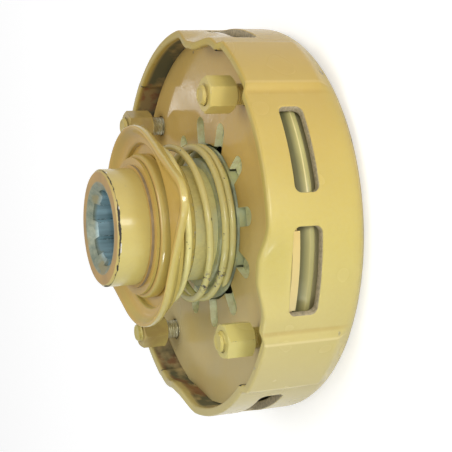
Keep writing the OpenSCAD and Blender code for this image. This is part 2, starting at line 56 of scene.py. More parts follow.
FLOOR_HALF = 3.0
FLOOR_TONE = 0.82
FLOOR_LIFT = 0.5         # how much the floor glows in rays that see or mirror it
SKY_LIGHT = 0.4
SKY_MIRRORED = 0.12      # share of white in the sky that polished faces mirror

# name, place, aim, size, power in watts and colour
LAMPS = (
    ("window", (0.95, 0.05, 0.16), (0, 0, 0.06), (0.34, 0.26), 0.85, (1, 1, 1)),
    ("front", (0.15, 0.25, 1.25), (0, 0, 0.04), (0.7, 0.7), 4.4, (1, 1, 1)),
    ("far", (-1.075, 0.215, 0.46), (-0.01, 0.055, 0.036), (0.05, 0.03), 0.03, (1, 1, 1)),
    ("strip", (0.60, 0.065, 0.25), (0.033, 0, 0.07), (0.16, 0.02), 0.5, (1, 1, 1)),
    ("low", (0.347, -0.48, 0.274), (0.03, -0.015, 0.07), (0.12, 0.09), 0.5, (0.88, 0.95, 1.0)),
    ("glint", (0.258, 0.025, 0.021), (0.03, 0, 0.075), (0.05, 0.036), 0.10, (1, 1, 1)),
    ("glint_below", (0.23, -0.27, 0.014), (0.03, 0, 0.07), (0.05, 0.022), 0.05, (0.85, 0.95, 1.0)),
)


def put_in_place(thing, right, up, back, place):
    """Links a camera or lamp at a place, by the directions of its right, its top and its back."""
    rows = [[right[i], up[i], back[i], place[i]] for i in range(3)]
    thing.matrix_world = Matrix(rows + [[0, 0, 0, 1]])
    scene.collection.objects.link(thing)


def add_camera():
    """The photograph's view: the axis lies level and points left, so the camera is rolled a quarter turn."""
    data = bpy.data.cameras.new("camera")
    data.sensor_width = 36
    data.lens = 89.586
    data.clip_start, data.clip_end = 0.01, 20
    cam = bpy.data.objects.new("camera", data)
    put_in_place(cam, right=(0.3977, -0.0720, -0.9147), up=(0.0495, 0.9971, -0.0570),
                 back=(0.9162, -0.0226, 0.4001), place=(0.4936, -0.0147, 0.2420))
    scene.camera = cam


def add_lamp(name, place, aim, size, power, colour):
    """An oblong lamp whose long side lies level, turned to face its aim."""
    data = bpy.data.lights.new(name, "AREA")
    data.shape = "RECTANGLE"
    data.size, data.size_y = size
    data.energy = power
    data.color = colour
    back = np.array(place, float) - np.array(aim, float)
    back /= np.linalg.norm(back)
    side = np.cross((0.0, 0.0, 1.0), back)
    side /= np.linalg.norm(side)
    put_in_place(bpy.data.objects.new(name, data), side, np.cross(back, side), back, place)


def either(tree, path, first, second):
    """1 for a ray of one of two kinds, as the Light Path node names them, and 0 for others."""
    node = tree.nodes.new("ShaderNodeMath")
    node.operation = "MAXIMUM"
    tree.links.new(path.outputs[first], node.inputs[0])
    tree.links.new(path.outputs[second], node.inputs[1])
    return node.outputs[0]


def add_floor():
    """A plain pale floor that looks white to the camera and in mirrored rays, and keeps the shadow."""
    mesh = bpy.data.meshes.new("floor")
    r = FLOOR_HALF
    mesh.from_pydata([(-r, -r, 0), (r, -r, 0), (r, r, 0), (-r, r, 0)], [], [(0, 1, 2, 3)])
    floor = bpy.data.objects.new("floor", mesh)
    scene.collection.objects.link(floor)
    white = bpy.data.materials.new("floor_white")
    white.use_nodes = True
    t = white.node_tree
    t.nodes.clear()
    out = t.nodes.new("ShaderNodeOutputMaterial")
    add = t.nodes.new("ShaderNodeAddShader")
    diffuse = t.nodes.new("ShaderNodeBsdfDiffuse")
    diffuse.inputs["Color"].default_value = (FLOOR_TONE, FLOOR_TONE, FLOOR_TONE, 1)
    glow = t.nodes.new("ShaderNodeEmission")
    path = t.nodes.new("ShaderNodeLightPath")
    seen = either(t, path, "Is Camera Ray", "Is Glossy Ray")
    lift = t.nodes.new("ShaderNodeMath")
    lift.operation = "MULTIPLY"
    lift.inputs[1].default_value = FLOOR_LIFT
    t.links.new(seen, lift.inputs[0])
    t.links.new(lift.outputs[0], glow.inputs["Strength"])
    t.links.new(diffuse.outputs[0], add.inputs[0])
    t.links.new(glow.outputs[0], add.inputs[1])
    t.links.new(add.outputs[0], out.inputs["Surface"])
    mesh.materials.append(white)


def add_world():
    """A soft even sky. The camera sees it white, and polished faces mirror a share of that white."""
    world = bpy.data.worlds.new("studio")
    scene.world = world
    world.use_nodes = True
    t = world.node_tree
    t.nodes.clear()
    out = t.nodes.new("ShaderNodeOutputWorld")
    soft = t.nodes.new("ShaderNodeBackground")
    soft.inputs["Color"].default_value = (1, 1, 1, 1)
    soft.inputs["Strength"].default_value = SKY_LIGHT
    white = t.nodes.new("ShaderNodeBackground")
    white.inputs["Strength"].default_value = 1.0
    path = t.nodes.new("ShaderNodeLightPath")
    mix = t.nodes.new("ShaderNodeMixShader")
    seen = either(t, path, "Is Camera Ray", "Is Transmission Ray")
    mirrored = t.nodes.new("ShaderNodeMath")
    mirrored.operation = "MULTIPLY_ADD"
    mirrored.use_clamp = True
    mirrored.inputs[1].default_value = SKY_MIRRORED
    t.links.new(path.outputs["Is Glossy Ray"], mirrored.inputs[0])
    t.links.new(seen, mirrored.inputs[2])
    t.links.new(mirrored.outputs[0], mix.inputs[0])
    t.links.new(soft.outputs[0], mix.inputs[1])
    t.links.new(white.outputs[0], mix.inputs[2])
    t.links.new(mix.outputs[0], out.inputs["Surface"])


# Shapes: each is worked out in millimetres round the coupling's axis, and made a mesh in metres

MM = 0.001
LOBES = (0, 90, 180, 270)

# The pressed bell
WALL = 4.0
LOBE_R = 90.7
RIM = 47.1
RIM_ROUND = 1.1
SHOULDER_R = 9.0
SPRING_TOP = 36.0
FLOOR_PROFILE = ((74, 0), (66, 0), (56.6, 0), (56.2, 0.15), (56.0, 0.6),
                 (56.0, 3.4), (56.2, 3.85), (56.6, 4), (66, 4), (74, 4))
FLOOR_FLAT_R = 75        # inside this radius the pockets don't reach the floor
POCKET_TURN = 45
POCKET_SIDE = (9.2, 11.8)
POCKET_HEIGHTS = (5.4, 12.6)
POCKET_OUT = 2.5
POCKET_RIM_DROP = 1.1
STAKE_TURN = -16.5
STAKE_SIDE = (2, 13.4)
STAKE_HEIGHTS = (34.6, 36.0)
STAKE_IN = 5.4
STAKE_RIM_LIFT = 2
WINDOW_TURN = 16.5
WINDOW_HALF_TURN = 12.2
WINDOW_LOW = 23.2
WINDOW_HIGH = 34.2
STAKED_WINDOW_HIGH = 36.05
WINDOW_CORNER_R = 3.0
WINDOW_ROUND = 0.5

# The coil round the hub
WIRE_R = 1.65
COIL_R = 35.75
COIL_LOW = 38.3
COIL_TOP = 60.8
COIL_TURNS = 3.4
COIL_PITCH = 3.4
COIL_START = -60
OPEN_STRETCH = (0.44, 0.88)                # shares of its turns between which the coil is open
WIRE_TIP = np.array([0.02, 0.6, 0.92])     # shares of the wire's radius at its rounded tip

# The grip plate
PLATE_TURN = 9.4
PLATE_BASE = 62.5
WELL_FLOOR = 65.5
WEB_TOP = 68.4
LIP_BASE = 68.8
LIP_TOP = 72.3
END_OUT, END_R = 61.8, 12.2
SIDE_OUT, SIDE_R = 46.8, 43.0
WELL_A, WELL_B = 34.1, 38.3
HOLE_R, HOLE_CHAMFER_R = 31.55, 31.9

# The studs
STUD_ROW_R = 74.5
STUD_TOP = 57.4
CREST_R = 4.75
THREAD_PITCH = 1.5875
THREAD_DEPTH = 0.8

# The pressure plate: radius, height, and whether the point moves out with the lugs
PLATE_BORE_R = 37.0
PLATE_R = 85.3
LUG_OUT = 2.5
LUG_HALF_TURN = 7.4
PRESSURE_PROFILE = np.array((
    (PLATE_BORE_R, 23.8, 0), (PLATE_R - 0.4, 23.8, 1), (PLATE_R, 24.2, 1), (PLATE_R, 25.9, 1),
    (PLATE_R - 0.15, 26.25, 1), (PLATE_R - 0.8, 27.4, 1), (PLATE_R - 1.9, 29.2, 0), (PLATE_R - 3.0, 30.8, 0),
    (PLATE_R - 4.4, 31.9, 0), (PLATE_R - 6.5, 32.2, 0), (76, 31.6, 0), (70, 28.8, 0), (52.0, 28.8, 0),
    (52.0, 32.2, 0), (51.6, 32.58, 0), (PLATE_BORE_R + 0.3, 32.58, 0), (PLATE_BORE_R, 32.3, 0)))


def ease(x, a, b):
    """Smooth step: 0 below a, 1 above b, and 3t^2 - 2t^3 between them."""
    t = np.clip((np.asarray(x, float) - a) / (b - a), 0, 1)
    return t * t * (3 - 2 * t)


def turn_from(a, b):
    """Angle between a and the nearest of b, b + 90, b + 180 and b + 270 degrees."""
    t = np.mod(np.asarray(a, float) - b, 90)
    return np.minimum(t, 90 - t)


def round_axis(r, a, z):
    """Points at radius r, angle a in degrees and height z, as rows of x, y, z."""
    r, a, z = np.broadcast_arrays(r, np.radians(a), z)
    return np.stack([r * np.cos(a), r * np.sin(a), z], -1)


def grid_faces(rows, cols, wrap_rows=False, wrap_cols=False, start=0):
    """Quads of a grid of rows by cols points, wrapped round where the last line meets the first."""
    i = np.arange(rows if wrap_rows else rows - 1)[:, None]
    j = np.arange(cols if wrap_cols else cols - 1)[None, :]
    k, m = (i + 1) % rows, (j + 1) % cols
    quads = np.stack([i * cols + j, k * cols + j, k * cols + m, i * cols + m], -1)
    return quads.reshape(-1, 4) + start


def add_piece(name, parts, body, node, material, sharp=35):
    """One mesh from grids of points in millimetres, each with its two wrap flags.

    The grids' shared points are welded, and the faces turned outwards.
    """
    points, quads, start = [], [], 0
    for grid, wrap_rows, wrap_cols in parts:
        rows, cols = grid.shape[:2]
        points.append(grid.reshape(-1, 3))
        quads.append(grid_faces(rows, cols, wrap_rows, wrap_cols, start))
        start += rows * cols
    mesh = bpy.data.meshes.new(name)
    mesh.from_pydata((np.concatenate(points) * MM).tolist(), [], np.concatenate(quads).tolist())
    bm = bmesh.new()
    bm.from_mesh(mesh)
    bmesh.ops.remove_doubles(bm, verts=bm.verts, dist=2e-6)
    bmesh.ops.recalc_face_normals(bm, faces=bm.faces)
    bm.to_mesh(mesh)
    bm.free()
    mesh.shade_smooth()
    mesh.set_sharp_from_angle(angle=math.radians(sharp))
    mesh.materials.append(material)
    piece = bpy.data.objects.new(name, mesh)
    scene.collection.objects.link(piece)
    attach(piece, body)
    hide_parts(node)
    return piece


def pocket_at(a):
    """1 in a stud's pocket, 0 on the lobes, and a smooth step in angle at the pocket's sides."""
    return 1 - ease(turn_from(a, POCKET_TURN), *POCKET_SIDE)


def pocket_push(a, z):
    """How far a pocket stands out: its depth times a smooth step in angle times one in height."""
    return POCKET_OUT * pocket_at(a) * ease(z, *POCKET_HEIGHTS)


def wall_point(a, z, depth):
    """The pressed wall at angle a and drawn height z, a depth in from its outer face.

    Radius = lobe radius + pocket - dent - depth. A dent, where the wall is staked inwards, grows from a
    third at the disc spring to its whole at the rim. The rim drops in the pockets and lifts at the dents,
    and the heights above the disc spring stretch with it.
    """
    stake = 1 - ease(turn_from(a, STAKE_TURN), *STAKE_SIDE)
    top = RIM - POCKET_RIM_DROP * pocket_at(a) + STAKE_RIM_LIFT * stake
    rise = (z - SPRING_TOP) / (RIM - SPRING_TOP)
    height = np.where(z > SPRING_TOP, SPRING_TOP + rise * (top - SPRING_TOP), z)
    dent = STAKE_IN * stake * (0.33 + 0.67 * ease(z, SPRING_TOP, RIM)) * ease(z, *STAKE_HEIGHTS)
    return round_axis(LOBE_R + pocket_push(a, z) - dent - depth, a, height)


def rounded_outline(half_w, low, high, r, per_corner=8, per_side=36, per_end=9):
    """A rounded rectangle as points and outward normals, and the share of the way along each side of it.

    It starts half way round the lower right corner and goes by right, top, left and bottom sides.
    """
    points, normals, shares = [], [], []
    centres = [(half_w - r, low + r), (half_w - r, high - r), (-half_w + r, high - r), (-half_w + r, low + r)]
    for side in range(4):
        count = per_end if side % 2 == 0 else per_side
        c0, c1 = np.array(centres[side]), np.array(centres[(side + 1) % 4])
        base = side * 90
        first = np.radians(base - 45 + 45 * np.arange(per_corner) / per_corner)
        last = np.radians(base + 45 * np.arange(1, per_corner + 1) / per_corner)
        n0 = np.stack([np.cos(first), np.sin(first)], -1)
        n1 = np.stack([np.cos(last), np.sin(last)], -1)
        n = np.array([math.cos(math.radians(base)), math.sin(math.radians(base))])
        t = np.arange(count + 1)[:, None] / count
        straight = c0 + (c1 - c0) * t + r * n
        points.append(np.concatenate([c0 + r * n0, straight, c1 + r * n1])[:-1])
        normals.append(np.concatenate([n0, np.repeat(n[None], count + 1, 0), n1])[:-1])
        shares.append(np.arange(len(points[-1])) / len(points[-1]))
    return points, normals, shares


def over_edge(radius, count):
    """The way over the edge of the wall, both corners rounded: pairs of how far back it lies, and its depth."""
    turns = np.radians(np.linspace(0, 90, count))
    pairs = [(radius * (1 - math.sin(q)), radius * (1 - math.cos(q))) for q in turns]
    pairs += [(0.0, WALL / 2)]
    pairs += [(radius * (1 - math.cos(q)), WALL - radius * (1 - math.sin(q))) for q in turns]
    return pairs


def floor_profile():
    """Radius and height of the bell's floor: the outer quarter round, the floor to its hole, the inner one."""
    q = np.radians(np.linspace(0, 90, 12))
    inner_r = SHOULDER_R - WALL
    outer = np.stack([LOBE_R - SHOULDER_R * (1 - np.cos(q)), SHOULDER_R - SHOULDER_R * np.sin(q)], -1)
    inner = np.stack([LOBE_R - WALL - inner_r * (1 - np.cos(q)), SHOULDER_R - inner_r * np.sin(q)], -1)
    return np.concatenate([outer, np.array(FLOOR_PROFILE), inner[::-1]])


def eighth_parts(lobe, plain):
    """An eighth of the bell, with its plain or staked window: wall, window's edge, rim, shoulder and floor.

    The wall is laid out flat: across = lobe radius times the turn from the window's middle, and up = height.
    Each of its two faces runs from the window's outline to the border of the eighth:
    point = start + (border - start) * t^1.25.
    """
    scale = math.radians(1) * LOBE_R
    centre = lobe + (WINDOW_TURN if plain else -WINDOW_TURN)
    half_w = LOBE_R * math.sin(math.radians(WINDOW_HALF_TURN))
    window_high = WINDOW_HIGH if plain else STAKED_WINDOW_HIGH
    points, normals, shares = rounded_outline(half_w, WINDOW_LOW, window_high, WINDOW_CORNER_R)
    outline, normal = np.concatenate(points), np.concatenate(normals)

    near, far = (-WINDOW_TURN, 45 - WINDOW_TURN) if plain else (WINDOW_TURN - 45, WINDOW_TURN)
    near, far = near * scale, far * scale
    low, high = SHOULDER_R, RIM - RIM_ROUND
    corners = np.array([(far, low), (far, high), (near, high), (near, low)])
    border = [corners[k] + (corners[(k + 1) % 4] - corners[k]) * shares[k][:, None] for k in range(4)]

    def border_turns(side, last):
        """Angles of the points of one side of the border, with its last corner."""
        return centre + np.concatenate([border[side], [corners[last]]])[:, 0] / scale

    parts = []
    start = outline + WINDOW_ROUND * normal
    for depth, rows in ((0.0, 37), (WALL, 15)):
        t = (np.linspace(0, 1, rows) ** 1.25)[:, None, None]
        flat = start + (np.concatenate(border) - start) * t
        parts.append((wall_point(centre + flat[..., 0] / scale, flat[..., 1], depth), False, True))

    edge = []
    for back, depth in over_edge(WINDOW_ROUND, 5):
        flat = outline + back * normal
        edge.append(wall_point(centre + flat[:, 0] / scale, flat[:, 1], depth))
    parts.append((np.stack(edge), False, True))

    turns = border_turns(1, 2)
    rim = [wall_point(turns, RIM - back, depth) for back, depth in over_edge(RIM_ROUND, 6)]
    parts.append((np.stack(rim), False, False))

    turns = border_turns(3, 0)[None, :]
    profile = floor_profile()
    r, z = profile[:, :1], profile[:, 1:]
    parts.append((round_axis(r + pocket_push(turns, z) * (r > FLOOR_FLAT_R), turns, z), False, False))
    return parts


def housing_parts():
    """The bell as grids, an eighth of a turn at a time: each lobe has a plain and a staked window."""
    parts = []
    for lobe in LOBES:
        parts += eighth_parts(lobe, True) + eighth_parts(lobe, False)
    return parts


def coil_height(t):
    """Height of the wire after t turns: a close pitch all along, and the open stretch by a smooth step."""
    extra = COIL_TOP - COIL_LOW - COIL_TURNS * COIL_PITCH
    first, last = OPEN_STRETCH
    return COIL_LOW + COIL_PITCH * t + extra * ease(t, first * COIL_TURNS, last * COIL_TURNS)


def coil_parts():
    """A round wire swept along the coil: radius and height = the coil's own + the wire's radius times the
    cosine and sine of the angle round the wire, in the plane through the axis."""
    t = np.linspace(0, COIL_TURNS, 3 * 96 + 39)[:, None]
    b = np.radians(np.linspace(0, 360, 20, endpoint=False))[None, :]
    middle = np.ones(len(t) - 2 * len(WIRE_TIP))
    grow = np.concatenate([WIRE_TIP, middle, WIRE_TIP[::-1]])[:, None]
    r = COIL_R + WIRE_R * grow * np.cos(b)
    z = coil_height(t) + WIRE_R * grow * np.sin(b)
    return [(round_axis(r, COIL_START + 360 * t, z), False, True)]


def lozenge(d, count=12):
    """The grip plate's outline inset by d: arcs of two small end circles and two large side circles, and
    the straight lines between them. A point is its circle's centre plus (radius - d) times the normal.
    """
    end_x, side_y = END_OUT - END_R, SIDE_OUT - SIDE_R
    turn = math.acos((SIDE_R - END_R) / math.hypot(end_x, side_y)) - math.atan2(side_y, end_x)
    q = np.concatenate([np.linspace(0, turn, count), np.full(count - 2, turn),
                        np.linspace(turn, math.pi / 2, count)])
    share = np.concatenate([np.zeros(count), np.arange(1, count - 1) / (count - 1), np.ones(count)])
    x = (1 - share) * (end_x + (END_R - d) * np.cos(q)) + share * (SIDE_R - d) * np.cos(q)
    y = (1 - share) * (END_R - d) * np.sin(q) + share * (side_y + (SIDE_R - d) * np.sin(q))
    quarter = np.stack([x, y], -1)
    left = quarter[::-1][1:] * (-1, 1)
    upper = np.concatenate([quarter, left])
    lower = (-upper)[1:-1]
    return np.concatenate([upper, lower])


def oval(like, g):
    """The well's outline, an ellipse grown by g, met by the rays through the points of another outline."""
    s = np.hypot(like[:, 0], like[:, 1])
    u, v = like[:, 0] / s, like[:, 1] / s
    k = 1 / np.hypot(u / (WELL_A + g), v / (WELL_B + g))
    return np.stack([k * u, k * v], -1)


def plate_parts():
    """The dished grip plate, as rings over its lip and web, down the oval well to the round hole, and back
    along its rear face. Rings near the edge are the lozenge inset by d; where the web is narrow, d is
    scaled down by the room there, so that the rings don't cross the well."""
    like = lozenge(0)
    outward = like - lozenge(1)
    rings = []

    def room_share(g, widest):
        room = np.linalg.norm(like, axis=1) - np.linalg.norm(oval(like, g), axis=1) - 0.3
        return np.minimum(1, room / widest)[:, None]

    over, under = room_share(1.6, 11.5), room_share(4.2, 11)

    def front(d):
        return like - d * over * outward

    def rear(d):
        return like - d * under * outward

    def well(g):
        return oval(like, g)

    def hole(r):
        return like / np.hypot(like[:, 0], like[:, 1])[:, None] * r

    for outline, steps in (
            (front, ((0, LIP_BASE + 0.8), (0, LIP_BASE + 1.75), (0, LIP_TOP - 0.8), (0.07, LIP_TOP - 0.45),
                     (0.25, LIP_TOP - 0.2), (0.6, LIP_TOP - 0.04), (1.4, LIP_TOP), (2.6, LIP_TOP - 0.25),
                     (4.2, LIP_TOP - 1.2), (6, LIP_TOP - 2.4), (8, LIP_TOP - 3.3), (10, WEB_TOP + 0.15),
                     (11.5, WEB_TOP))),
            (well, ((1.6, WEB_TOP), (0.9, WEB_TOP - 0.12), (0.4, WEB_TOP - 0.5), (0.1, WEB_TOP - 1.1),
                    (0, WEB_TOP - 1.8), (0, WELL_FLOOR + 0.3), (-0.2, WELL_FLOOR))),
            (hole, ((HOLE_CHAMFER_R, WELL_FLOOR), (HOLE_R, WELL_FLOOR - 0.3),
                    (HOLE_R, PLATE_BASE + 0.3), (HOLE_CHAMFER_R, PLATE_BASE))),
            (well, ((1.8, PLATE_BASE), (2.6, PLATE_BASE + 0.3), (3.0, PLATE_BASE + 1.2),
                    (3.0, WEB_TOP - 3.8), (3.5, WEB_TOP - 3.1), (4.2, WEB_TOP - 3.0))),
            (rear, ((11, WEB_TOP - 3.0), (9, WEB_TOP - 2.7), (6.8, LIP_BASE - 1.6), (4.2, LIP_BASE - 0.5),
                    (2.4, LIP_BASE), (1.2, LIP_BASE), (0.6, LIP_BASE + 0.04), (0.2, LIP_BASE + 0.25)))):
        for value, z in steps:
            xy = outline(value)
            rings.append(np.column_stack([xy, np.full(len(xy), z)]))
    grid = np.stack(rings)
    turn = math.radians(PLATE_TURN)
    c, s = math.cos(turn), math.sin(turn)
    x, y = grid[..., 0] * c - grid[..., 1] * s, grid[..., 0] * s + grid[..., 1] * c
    return [(np.stack([x, y, grid[..., 2]], -1), True, True)]


def stud_parts():
    """Four threaded studs: radius = crest - depth times a triangle wave of height / pitch - turn, which
    fades out below."""
    cols = 36
    a = np.linspace(0, 360, cols, endpoint=False)[None, :]
    z = np.linspace(28.0, STUD_TOP - 1.0, 8 * 18 + 1)[:, None]
    wave = np.abs(np.mod((z - THREAD_PITCH * a / 360) / THREAD_PITCH, 1) * 2 - 1)
    r = CREST_R - THREAD_DEPTH * np.clip(wave * 1.25 - 0.12, 0, 1) * ease(z, 29.0, 31.5)
    lower = np.array([(0.01, 23.8), (4.4, 23.8), (CREST_R, 24.2), (CREST_R, 27.9)])
    ends = np.array([(3.9, STUD_TOP - 0.05), (3.6, STUD_TOP), (2.9, STUD_TOP), (2.75, STUD_TOP - 0.2),
                     (2.5, STUD_TOP - 0.25), (0.01, STUD_TOP - 0.25)])
    rows_r = np.concatenate([np.repeat(lower[:, :1], cols, 1), r, np.repeat(ends[:, :1], cols, 1)])
    rows_z = np.concatenate([np.repeat(column, cols, 1) for column in (lower[:, 1:], z, ends[:, 1:])])
    parts = []
    for lobe in LOBES:
        q = math.radians(POCKET_TURN + lobe)
        grid = round_axis(rows_r, np.repeat(a, len(rows_r), 0) + lobe, rows_z)
        middle = np.array([STUD_ROW_R * math.cos(q), STUD_ROW_R * math.sin(q), 0])
        parts.append((grid + middle, False, True))
    return parts


def pressure_parts():
    """The pressure plate, turned, with a sloping front shoulder: its profile carried round the axis.

    The outer radius grows at the four lugs in the pockets; at a lug's side the same angle comes twice.
    """
    angles, grow = [], []
    for lobe in LOBES:
        a = lobe + POCKET_TURN
        first, last = a - LUG_HALF_TURN, a + LUG_HALF_TURN
        angles += [np.linspace(a - (90 - LUG_HALF_TURN), first, 40)[:-1], [first, first],
                   np.linspace(first, last, 9)[1:-1], [last]]
        grow += [np.zeros(39), [0, LUG_OUT], np.full(7, LUG_OUT), [LUG_OUT]]
    angles, grow = np.concatenate(angles), np.concatenate(grow)
    r = PRESSURE_PROFILE[:, :1] + PRESSURE_PROFILE[:, 2:] * grow[None, :]
    return [(round_axis(r, angles[None, :], PRESSURE_PROFILE[:, 1:2]), True, True)]


# Finishes: every pattern reads Object coordinates, so it stays on its piece

GOLD = (0.66, 0.50, 0.125)
GOLD_SHADE = (0.57, 0.405, 0.095)
GOLD_PALE = (0.70, 0.57, 0.22)
BRIGHT_GOLD = (0.72, 0.57, 0.165)
GRIME_AND_SHADE = (0.10, 0.085, 0.05)
DUST = (0.50, 0.44, 0.26)
PRIMER = (0.035, 0.032, 0.028)
SCUFFED = (0.62, 0.60, 0.54)
DULL_STEEL = (0.27, 0.30, 0.235)
RUST = (0.24, 0.075, 0.035)

SHARE, FIRST, SECOND, RESULT = 0, 6, 7, 2     # where a Mix node has its colour sockets

# x, y, z and radius of the chips that stand alone on the housing
HOUSING_CHIPS = (
    (51.9, 73.5, 42.6, 2.2), (54.5, 71.6, 42.9, 1.6), (67.7, 59.3, 6.5, 2.0), (72.1, 53.8, 31.8, 0.8),
    (79.5, 42.3, 45.5, 0.7), (81.6, 38.0, 16.8, 0.7), (88.8, -14.9, 57.4, 0.7))


class Finish:
    """A Principled material in the making, with its fields in millimetres and its state so far.

    The fields are x, y, z, the radius r from the axis, the normal's nx, ny, nz, and out, which is 1 on a
    face that looks away from the axis and -1 on one that looks towards it.
    """

    def __init__(self, name):
        self.material = bpy.data.materials.new(name)
        self.material.use_nodes = True
        self.tree = self.material.node_tree
        self.tree.nodes.clear()
        place = self.tree.nodes.new("ShaderNodeTexCoord")
        self.where = place.outputs["Object"]
        self.x, self.y, self.z = self.split(self.where, 1000)
        self.nx, self.ny, self.nz = self.split(place.outputs["Normal"])
        self.r = self.calc("SQRT", self.dot2(self.x, self.y, self.x, self.y))
        self.out = self.calc("DIVIDE", self.dot2(self.nx, self.ny, self.x, self.y),
                             self.calc("MAXIMUM", self.r, 0.01))
        self.colour, self.rough, self.metal, self.height = GOLD, 0.3, 0.0, 0.0

    def link(self, a, b):
        self.tree.links.new(a, b)

    def put(self, socket, value):
        """Sets a socket to a colour or a number, or links it to another node's socket."""
        if isinstance(value, tuple):
            socket.default_value = (*value, 1)
        elif isinstance(value, (int, float)):
            socket.default_value = value
        else:
            self.link(value, socket)

    def calc(self, kind, a, b=None):
        n = self.tree.nodes.new("ShaderNodeMath")
        n.operation = kind
        self.put(n.inputs[0], a)
        if b is not None:
            self.put(n.inputs[1], b)
        return n.outputs[0]

    def times(self, *values):
        total = values[0]
        for v in values[1:]:
            total = self.calc("MULTIPLY", total, v)
        return total

    def dot2(self, a, b, c, d):
        return self.calc("ADD", self.times(a, c), self.times(b, d))

    def split(self, vector, scale=None):
        """A vector's three parts, scaled if a scale is given."""
        s = self.tree.nodes.new("ShaderNodeSeparateXYZ")
        self.link(vector, s.inputs[0])
        return [self.times(v, scale) if scale else v for v in s.outputs]

    def ramp(self, value, low, high, a=0.0, b=1.0):
        """value from low to high becomes a to b, and stays there outside."""
        n = self.tree.nodes.new("ShaderNodeMapRange")
        for key, v in (("From Min", low), ("From Max", high), ("To Min", a), ("To Max", b)):
            n.inputs[key].default_value = v
        self.link(value, n.inputs["Value"])
        return n.outputs["Result"]

    def band(self, value, low, high, soft=0.5):
        """1 where value lies between low and high, falling to 0 over soft on both sides."""
        return self.times(self.ramp(value, low - soft, low), self.ramp(value, high, high + soft, 1.0, 0.0))

    def faces_in(self):
        """1 on faces that look towards the axis."""
        return self.ramp(self.out, -0.25, -0.5)

    def faces_out(self):
        """1 on faces that look away from the axis."""
        return self.ramp(self.out, 0.25, 0.5)

    def faces_front(self):
        """1 on faces that look forwards, towards the hub's open end."""
        return self.ramp(self.nz, 0.6, 0.9)

    def faces_rear(self):
        """1 on faces that look to the rear."""
        return self.ramp(self.nz, -0.6, -0.9)

    def noise(self, scale, detail=4.0, rough=0.5, stretch=None, shift=0.0):
        """Noise with its scale in cycles a metre, stretched by axis, and another one for each shift."""
        n = self.tree.nodes.new("ShaderNodeTexNoise")
        for key, v in (("Scale", scale), ("Detail", detail), ("Roughness", rough)):
            n.inputs[key].default_value = v
        where = self.where
        if stretch or shift:
            m = self.tree.nodes.new("ShaderNodeMapping")
            m.inputs["Scale"].default_value = stretch or (1, 1, 1)
            m.inputs["Location"].default_value = (shift, shift, shift)
            self.link(where, m.inputs["Vector"])
            where = m.outputs["Vector"]
        self.link(where, n.inputs["Vector"])
        return n.outputs["Fac"]

    def cloud(self, scale, detail, low, high, a=0.0, b=1.0, rough=0.5, stretch=None, shift=0.0):
        """Noise whose values from low to high become a to b."""
        return self.ramp(self.noise(scale, detail, rough, stretch, shift), low, high, a, b)

    def mix(self, share, a, b):
        n = self.tree.nodes.new("ShaderNodeMix")
        n.data_type = "RGBA"
        self.put(n.inputs[SHARE], share)
        self.put(n.inputs[FIRST], a)
        self.put(n.inputs[SECOND], b)
        return n.outputs[RESULT]

    def blend(self, share, a, b):
        """Plain numbers mixed by a share."""
        return self.calc("ADD", self.times(share, self.calc("SUBTRACT", b, a)), a)

    def lay(self, share, colour, rough=None, metal=None):
        """Lays a colour, and a roughness and metal if they are given, over what is there."""
        self.colour = self.mix(share, self.colour, colour)
        if rough is not None:
            self.rough = self.blend(share, self.rough, rough)
        if metal is not None:
            self.metal = self.blend(share, self.metal, metal)

    def corner(self):
        """0 in the open, 1 deep in a corner."""
        n = self.tree.nodes.new("ShaderNodeAmbientOcclusion")
        n.samples = 6
        n.inputs["Distance"].default_value = 0.005
        return self.ramp(n.outputs["AO"], 0.9, 0.25)

    def edge(self, radius=0.0006):
        """0 on flat stretches, 1 on sharp edges: how far the normal turns within a small radius in metres."""
        bevel = self.tree.nodes.new("ShaderNodeBevel")
        bevel.samples = 4
        bevel.inputs["Radius"].default_value = radius
        shape = self.tree.nodes.new("ShaderNodeNewGeometry")
        d = self.tree.nodes.new("ShaderNodeVectorMath")
        d.operation = "DOT_PRODUCT"
        self.link(shape.outputs["Normal"], d.inputs[0])
        self.link(bevel.outputs[0], d.inputs[1])
        return self.ramp(d.outputs["Value"], 0.995, 0.86)

    def near(self, x, y, z, radius):
        """1 at a point, falling to 0 at a radius from it."""
        d = self.tree.nodes.new("ShaderNodeVectorMath")
        d.operation = "DISTANCE"
        self.link(self.where, d.inputs[0])
        d.inputs[1].default_value = (x * MM, y * MM, z * MM)
        return self.ramp(d.outputs["Value"], radius * MM * 0.4, radius * MM, 1.0, 0.0)

    def chip(self, share, core_tone=SCUFFED):
        """Paint knocked off down to dark primer, with brighter metal in the middle of the larger chips."""
        self.lay(share, PRIMER, 0.6)
        core = self.times(share, self.cloud(900, 2, 0.52, 0.58, shift=0.31))
        self.lay(core, core_tone, 0.4, 0.6)
        self.height = self.calc("SUBTRACT", self.height, self.times(share, 1.2))

    def done(self, bump=0.12, specular=0.4):
        """The finished material: bump is the strength of its relief, whose full depth is 0.4 mm."""
        p = self.tree.nodes.new("ShaderNodeBsdfPrincipled")
        out = self.tree.nodes.new("ShaderNodeOutputMaterial")
        p.inputs["Specular IOR Level"].default_value = specular
        for key, v in (("Base Color", self.colour), ("Roughness", self.rough), ("Metallic", self.metal)):
            self.put(p.inputs[key], v)
        n = self.tree.nodes.new("ShaderNodeBump")
        n.inputs["Strength"].default_value = bump
        n.inputs["Distance"].default_value = 0.4 * MM
        self.put(n.inputs["Height"], self.height)
        self.link(n.outputs[0], p.inputs["Normal"])
        self.link(p.outputs[0], out.inputs["Surface"])
        return self.material


